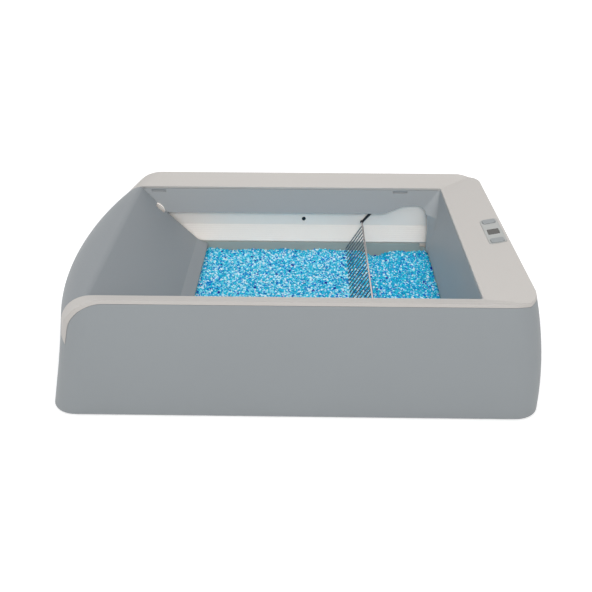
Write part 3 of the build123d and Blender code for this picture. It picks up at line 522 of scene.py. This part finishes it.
# %% Finish the solid pieces
FINISHES = [
    (TRAY_GREY, ["litter_tray"]),
    (SHELL_GREY, ["outer_shell"]),
    (BEZEL_PALE, ["top_bezel"]),
    # The hood's darker grey is painted shade.
    (SHADE_DARKENED_GREY, ["waste_hood", "chassis_plate", "rail_brackets", "control_housing"]),
    (SKIRT_GREY, ["inner_skirt"]),
    (LINER_PALE, ["liner_back", "liner_front", "pivot_ring_back", "pivot_ring_front"]),
    (BLACK, ["waste_flap", "gearbox", "power_jack", "rake_arm_back", "rake_arm_front"]),
    (BLACK, ["display_module", "key_switches"]),
    (GEAR_WHITE, ["drive_pinion", "drive_rack", "carriage_back", "carriage_front"]),
    (LENS_BLACK, ["sensor_back", "sensor_front"]),
    (RUBBER, ["rubber_feet"]),
    (ROD_STEEL_GLINT_TINTED, ["rake_rod"]),
    (TINE_STEEL, ["rake_tines"]),
    (RAIL_STEEL, ["guide_rail_back", "guide_rail_front"]),
    (MOTOR_STEEL, ["drive_motor"]),
    (SCREW_STEEL, ["bracket_screws"]),
    (FASCIA_PALE, ["control_fascia"]),
    (BOARD_GREEN, ["control_board"]),
    (DISPLAY_GLASS, ["display_lens"]),
    (KEY_GREY, ["button_top", "button_bottom"]),
]
finished = set()
for finish, names in FINISHES:
    for name in names:
        mesh = NODES[name].data
        mesh.materials.clear()
        mesh.materials.append(finish)
        finished.add(name)
print("nodes finished:", len(finished), "left:", sorted(set(NODES) - finished))

# %% [markdown]
# ## The bed of litter
# Crystal litter is a heap of angular grains of silica, dyed in several blues
# with some left white. Grains alone would leave holes, so a bed lies under them:
# a sheet with gentle mounds, dipped at the back where the rake has pushed the
# litter aside, and closed down to the tray's floor. A formula for its height
# keeps it the same on every run.

# %% Make the bed under the grains
LITTER_LOW, LITTER_HIGH = (Vector(v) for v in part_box("litter_bed"))
BED_DROP = 3.6 * MM
BED_STEP = 6.0 * MM
BED_SWING = 1.0 * MM
BED_CORNER = 11.5 * MM
MOUND_WAVES = (61, 47)
MOUND_SHIFT = 1.3
MOUND_MIDDLE = 0.2
CROSS_WAVES = (23, 31)
CROSS_SHARE = 0.6
DIP_X = 148.0 * MM
DIP_WIDTH = 26.0 * MM
DIP_START = 142.0 * MM
DIP_REACH = 36.0 * MM
DIP_DEPTH = 10.0 * MM
DIP_RIPPLE = 0.125
DIP_WAVE = 97


def bed_height(x, y):
    """Gentle mounds of the raked litter, with a dip along the back."""
    mounds = math.sin(x * MOUND_WAVES[0] + MOUND_SHIFT) * math.cos(y * MOUND_WAVES[1])
    mounds += CROSS_SHARE * math.sin(x * CROSS_WAVES[0] - y * CROSS_WAVES[1])
    swing = BED_SWING * (mounds / (1 + CROSS_SHARE) - MOUND_MIDDLE)
    far = min(1.0, max(0.0, (y - DIP_START) / DIP_REACH))
    dip = math.exp(-(((x - DIP_X) / DIP_WIDTH) ** 2)) + DIP_RIPPLE * (1 + math.sin(x * DIP_WAVE))
    return LITTER_HIGH.z - BED_DROP + swing - DIP_DEPTH * far * dip


def rounded_limit(x, y):
    """Keeps a point inside the tray's rounded right corners."""
    corner_x = LITTER_HIGH.x - BED_CORNER
    corner_y = LITTER_HIGH.y - BED_CORNER
    dx = x - corner_x
    dy = abs(y) - corner_y
    if dx <= 0 or dy <= 0:
        return x, y
    share = min(1.0, BED_CORNER / math.hypot(dx, dy))
    side = 1 if y > 0 else -1
    return corner_x + dx * share, side * (corner_y + dy * share)


def bed_top(mesh, count_x, count_y):
    """Rows of points at the bed's height, with faces between them."""
    grid = []
    for i in range(count_x + 1):
        row = []
        for j in range(count_y + 1):
            x = LITTER_LOW.x + (LITTER_HIGH.x - LITTER_LOW.x) * i / count_x
            y = LITTER_LOW.y + (LITTER_HIGH.y - LITTER_LOW.y) * j / count_y
            x, y = rounded_limit(x, y)
            row.append(mesh.verts.new((x, y, bed_height(x, y))))
        grid.append(row)
    for near, far in zip(grid, grid[1:]):
        for j in range(count_y):
            mesh.faces.new((near[j], far[j], far[j + 1], near[j + 1]))
    return grid


def build_bed():
    """A closed slab with an uneven top."""
    count_x = int((LITTER_HIGH.x - LITTER_LOW.x) / BED_STEP)
    count_y = int((LITTER_HIGH.y - LITTER_LOW.y) / BED_STEP)
    mesh = bmesh.new()
    grid = bed_top(mesh, count_x, count_y)
    rim = (
        [grid[i][0] for i in range(count_x)]
        + [grid[count_x][j] for j in range(count_y)]
        + [grid[i][count_y] for i in range(count_x, 0, -1)]
        + [grid[0][j] for j in range(count_y, 0, -1)]
    )
    foot = [mesh.verts.new((v.co.x, v.co.y, LITTER_LOW.z)) for v in rim]
    for k in range(len(rim)):
        n = (k + 1) % len(rim)
        mesh.faces.new((rim[n], rim[k], foot[k], foot[n]))
    mesh.faces.new(list(reversed(foot)))
    bmesh.ops.recalc_face_normals(mesh, faces=mesh.faces)
    data = bpy.data.meshes.new("litter_heap")
    mesh.to_mesh(data)
    mesh.free()
    return add_object("litter_heap", data)


heap = build_bed()
print("heap faces:", len(heap.data.polygons))

# %% [markdown]
# ## The finish of the bed
# The bed shows only as specks between the grains, where real litter shows more
# grains in shade. A Voronoi texture cuts it into cells of a grain's size, and a
# stepped ramp gives each cell one of the litter's colours, which costs nothing
# in geometry.

# %% Colour the bed
FILL_CELLS = 330.0
FILL_ROUGHNESS = 0.5
FILL_RELIEF = 1.0 * MM
# Where each colour starts on the ramp
FILL_STOPS = [
    (0.0, linear(214, 236, 246)),
    (0.34, linear(110, 205, 236)),
    (0.6, linear(0, 168, 220)),
    (0.86, linear(16, 110, 205)),
]


def litter_fill():
    """Speckled fill that shows between the grains."""
    material, tree, shader = new_material("litter_fill")
    cells = tree.nodes.new("ShaderNodeTexVoronoi")
    cells.inputs["Scale"].default_value = FILL_CELLS
    feed(tree, cells.inputs["Vector"], object_place(tree))
    pick = tree.nodes.new("ShaderNodeSeparateColor")
    feed(tree, pick.inputs[0], cells.outputs["Color"])
    ramp = tree.nodes.new("ShaderNodeValToRGB")
    steps = ramp.color_ramp
    steps.interpolation = "CONSTANT"
    while len(steps.elements) < len(FILL_STOPS):
        steps.elements.new(1.0)
    for step, (position, colour) in zip(steps.elements, FILL_STOPS):
        step.position = position
        step.color = colour
    feed(tree, ramp.inputs[0], pick.outputs[0])
    feed(tree, shader.inputs["Base Color"], ramp.outputs[0])
    shader.inputs["Roughness"].default_value = FILL_ROUGHNESS
    add_bump(tree, shader, cells.outputs["Distance"], FILL_RELIEF)
    return material


heap.data.materials.append(litter_fill())
print("bed colours:", len(FILL_STOPS))

# %% [markdown]
# ## The shapes of a grain
# A grain is a chip of silica, about as long as it is wide, with flat faces and
# blunt corners. An icosphere of twenty faces has that look once its corners are
# moved in and out at random and it is squashed. Five such shapes are enough for
# tens of thousands of grains, and each keeps its own fixed seed.

# %% Make the grain shapes
SHAPE_COUNT = 5
SHAPE_SEED = 40
CORNER_REACH = (0.72, 1.12)
SHAPE_SQUASH = ((0.9, 1.25), (0.75, 1.0), (0.6, 0.85))


def grain_shape(index):
    """One angular grain about one unit in radius."""
    mesh = bmesh.new()
    bmesh.ops.create_icosphere(mesh, subdivisions=1, radius=1.0)
    maker = random.Random(SHAPE_SEED + index)
    for vert in mesh.verts:
        vert.co *= maker.uniform(*CORNER_REACH)
    mesh.transform(Matrix.Diagonal([maker.uniform(*limits) for limits in SHAPE_SQUASH] + [1]))
    data = bpy.data.meshes.new(f"grain_{index}")
    mesh.to_mesh(data)
    mesh.free()
    return bpy.data.objects.new(f"grain_{index}", data)


shapes = [grain_shape(index) for index in range(SHAPE_COUNT)]
print("grain shapes:", len(shapes), "faces each:", len(shapes[0].data.polygons))

# %% [markdown]
# ## The tree that scatters the grains
# Thousands of grains can't be placed by hand, and a loop in the script would be
# slow. Geometry Nodes scatter points on the bed's top, drop one of the shapes on
# each, turn it at random and vary its size. Right of the rake the litter holds
# fewer of the white grains and more of the dark ones, which also paints the shade
# that falls there from the panel side, so each kind has its own share there. The
# tree ends in real geometry with a finish, because instances are lost on export.

# %% Build the scattering tree
RIGHT_SIDE_X = 128.0 * MM
RIGHT_SIDE_BLEND = 20 * MM
TOP_FACING = 0.5
GRAIN_LEVELS = ((0, 0, -0.6 * MM), (0, 0, 1.0 * MM))
GRAIN_TURNS = ((-0.7, -0.7, 0), (0.7, 0.7, 6.283))
GRAIN_SIZES = (0.55, 1.15)
TREE_INPUTS = {
    "Density": "NodeSocketFloat",
    "Grain Size": "NodeSocketFloat",
    "Seed": "NodeSocketInt",
    "Right Share": "NodeSocketFloat",
    "Finish": "NodeSocketMaterial",
}
# Which pair of inputs and which output a random node uses for each kind of value
RANDOM_SOCKETS = {"FLOAT_VECTOR": 0, "FLOAT": 1, "INT": 2}


def random_value(tree, kind, low, high, seed):
    """A random value between two limits for each grain."""
    node = tree.nodes.new("FunctionNodeRandomValue")
    node.data_type = kind
    index = RANDOM_SOCKETS[kind]
    node.inputs[2 * index].default_value = low
    node.inputs[2 * index + 1].default_value = high
    feed(tree, node.inputs["Seed"], seed)
    return node.outputs[index]


def grain_points(tree, given):
    """Points over the bed's top, at slightly different levels."""
    split = tree.nodes.new("ShaderNodeSeparateXYZ")
    feed(tree, split.inputs[0], tree.nodes.new("GeometryNodeInputNormal").outputs[0])
    top = tree.nodes.new("FunctionNodeCompare")
    top.data_type = "FLOAT"
    top.operation = "GREATER_THAN"
    feed(tree, top.inputs[0], split.outputs["Z"])
    feed(tree, top.inputs[1], TOP_FACING)

    where = tree.nodes.new("ShaderNodeSeparateXYZ")
    feed(tree, where.inputs[0], tree.nodes.new("GeometryNodeInputPosition").outputs[0])
    # Right of the rake the share thins the white grains and adds dark ones, which paints the
    # shade there.
    start, end = RIGHT_SIDE_X - RIGHT_SIDE_BLEND, RIGHT_SIDE_X + RIGHT_SIDE_BLEND
    share = map_range(tree, where.outputs["X"], start, end, 1.0, given["Right Share"])

    points = tree.nodes.new("GeometryNodeDistributePointsOnFaces")
    feed(tree, points.inputs["Mesh"], given["Geometry"])
    feed(tree, points.inputs["Selection"], top.outputs[0])
    feed(tree, points.inputs["Density"], times(tree, given["Density"], share))
    feed(tree, points.inputs["Seed"], given["Seed"])
    move = tree.nodes.new("GeometryNodeSetPosition")
    feed(tree, move.inputs["Geometry"], points.outputs["Points"])
    levels = random_value(tree, "FLOAT_VECTOR", *GRAIN_LEVELS, given["Seed"])
    feed(tree, move.inputs["Offset"], levels)
    return move.outputs["Geometry"]


def grain_tree():
    """Geometry Nodes tree that scatters the grains over the bed."""
    tree = bpy.data.node_groups.new("scatter_grains", "GeometryNodeTree")
    face = tree.interface
    face.new_socket("Geometry", in_out="INPUT", socket_type="NodeSocketGeometry")
    for label, kind in TREE_INPUTS.items():
        face.new_socket(label, in_out="INPUT", socket_type=kind)
    face.new_socket("Geometry", in_out="OUTPUT", socket_type="NodeSocketGeometry")
    given = tree.nodes.new("NodeGroupInput").outputs
    result = tree.nodes.new("NodeGroupOutput").inputs

    gather = tree.nodes.new("GeometryNodeGeometryToInstance")
    for shape in shapes:
        info = tree.nodes.new("GeometryNodeObjectInfo")
        info.inputs["Object"].default_value = shape
        feed(tree, gather.inputs[0], info.outputs["Geometry"])

    seed = given["Seed"]
    spread = tree.nodes.new("GeometryNodeInstanceOnPoints")
    spread.inputs["Pick Instance"].default_value = True
    feed(tree, spread.inputs["Points"], grain_points(tree, given))
    feed(tree, spread.inputs["Instance"], gather.outputs[0])
    pick = random_value(tree, "INT", 0, SHAPE_COUNT - 1, seed)
    feed(tree, spread.inputs["Instance Index"], pick)
    turn = random_value(tree, "FLOAT_VECTOR", *GRAIN_TURNS, seed)
    feed(tree, spread.inputs["Rotation"], turn)
    size = random_value(tree, "FLOAT", *GRAIN_SIZES, seed)
    feed(tree, spread.inputs["Scale"], times(tree, size, given["Grain Size"]))

    solid = tree.nodes.new("GeometryNodeRealizeInstances")
    feed(tree, solid.inputs[0], spread.outputs[0])
    paint = tree.nodes.new("GeometryNodeSetMaterial")
    feed(tree, paint.inputs["Geometry"], solid.outputs[0])
    feed(tree, paint.inputs["Material"], given["Finish"])
    feed(tree, result[0], paint.outputs[0])
    return tree


SCATTER = grain_tree()
print("tree:", SCATTER.name, "nodes", len(SCATTER.nodes))

# %% [markdown]
# ## The colours of the grains
# Real grains are faintly see-through, and their dye is uneven. Thousands of
# clear grains would be slow to render, so a noise lets each colour fade towards
# white in patches instead, with a low shine. The kinds differ in colour, number
# and size, and a few navy ones stand out as they do in the picture.

# %% Make the crystal finishes
GRAIN_SIZE = 2.4 * MM
PATCH_SCALE = 420.0
PATCH_START = 0.35
PATCH_CONTRAST = 1.6
FINE_SCALE = 2600.0
CRYSTAL_ROUGHNESS = 0.3
CRYSTAL_SHINE = 0.22
CRYSTAL_RELIEF = 0.2 * MM


def crystal(name, colour, clear):
    """Silica grain, dyed, and paler in patches by the clear share."""
    material, tree, shader = new_material(name)
    place = object_place(tree)
    patch = noise_node(tree, place, PATCH_SCALE)
    fine = noise_node(tree, place, FINE_SCALE)
    pale = tuple(c + (1.0 - c) * clear for c in colour[:3]) + (1.0,)
    mixed = times(tree, minus(tree, patch, PATCH_START), PATCH_CONTRAST)
    feed(tree, shader.inputs["Base Color"], rgba_mix(tree, mixed, colour, pale))
    rough = plus(tree, CRYSTAL_ROUGHNESS, times(tree, fine, CRYSTAL_ROUGHNESS))
    feed(tree, shader.inputs["Roughness"], rough)
    shader.inputs["Specular IOR Level"].default_value = CRYSTAL_SHINE
    add_bump(tree, shader, fine, CRYSTAL_RELIEF)
    return material


# Finish, grains per square metre, size and the share of them right of the rake, which also
# paints shade there
GRAIN_KINDS = {
    "grains_white": (crystal("crystal_white", linear(205, 238, 247), 0.55), 20000.0, 1.15, 0.4),
    "grains_pale": (crystal("crystal_pale", linear(110, 220, 238), 0.35), 26000.0, 1.05, 0.6),
    "grains_cyan": (crystal("crystal_cyan", linear(0, 192, 222), 0.03), 38000.0, 1.08, 1.1),
    "grains_teal": (crystal("crystal_teal", linear(0, 166, 205), 0.01), 31000.0, 1.05, 1.25),
    "grains_blue": (crystal("crystal_blue", linear(0, 122, 205), 0.01), 17000.0, 1.0, 1.1),
    "grains_navy": (crystal("crystal_navy", linear(12, 8, 150), 0.0), 1500.0, 1.25, 1.0),
}
print("grain kinds:", sorted(GRAIN_KINDS))

# %% [markdown]
# ## The loose grains
# The tree runs once for each kind, on a copy of the bed, with its own seed and
# density. Its result is turned into a plain mesh, and the copy is thrown away,
# so that each kind is one simple piece. A modifier's input is set by its
# socket's identifier, which a helper looks up by name.

# %% Scatter the grains
FIRST_SEED = 3


def socket_id(tree, label):
    """Identifier of a named input socket."""
    for item in tree.interface.items_tree:
        if item.in_out == "INPUT" and item.name == label:
            return item.identifier
    raise KeyError(label)


def scatter(name, values):
    """One plain mesh of grains, made by the tree from the given values."""
    carrier = heap.copy()
    carrier.data = heap.data.copy()
    scene.collection.objects.link(carrier)
    modifier = carrier.modifiers.new("scatter", "NODES")
    modifier.node_group = SCATTER
    for label, value in values.items():
        modifier[socket_id(SCATTER, label)] = value
    bpy.context.view_layer.update()
    evaluated = carrier.evaluated_get(bpy.context.evaluated_depsgraph_get())
    mesh = bpy.data.meshes.new_from_object(evaluated)
    mesh.name = name
    bpy.data.objects.remove(carrier)
    return add_object(name, mesh)


grains = []
for seed, (name, (finish, density, size, right_share_and_shade)) in enumerate(GRAIN_KINDS.items()):
    values = {
        "Density": density,
        "Grain Size": GRAIN_SIZE * size,
        "Seed": FIRST_SEED + seed,
        "Right Share": right_share_and_shade,
        "Finish": finish,
    }
    grains.append(scatter(name, values))
    mesh = grains[-1].data
    print(name, "faces", len(mesh.polygons), "top", max(v.co.z for v in mesh.vertices))
for shape in shapes:
    bpy.data.objects.remove(shape)

# %% [markdown]
# ## The litter stays in its tray
# When the frame is lifted, the litter is left behind in the tray. So the bed
# and the grains ride on the tray's body, and together stand for the plain block
# of litter that the solid model has.

# %% Fasten the litter to the tray
for piece in [heap] + grains:
    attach(piece, "tray")
    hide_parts("litter_bed")
print("litter pieces:", 1 + len(grains))
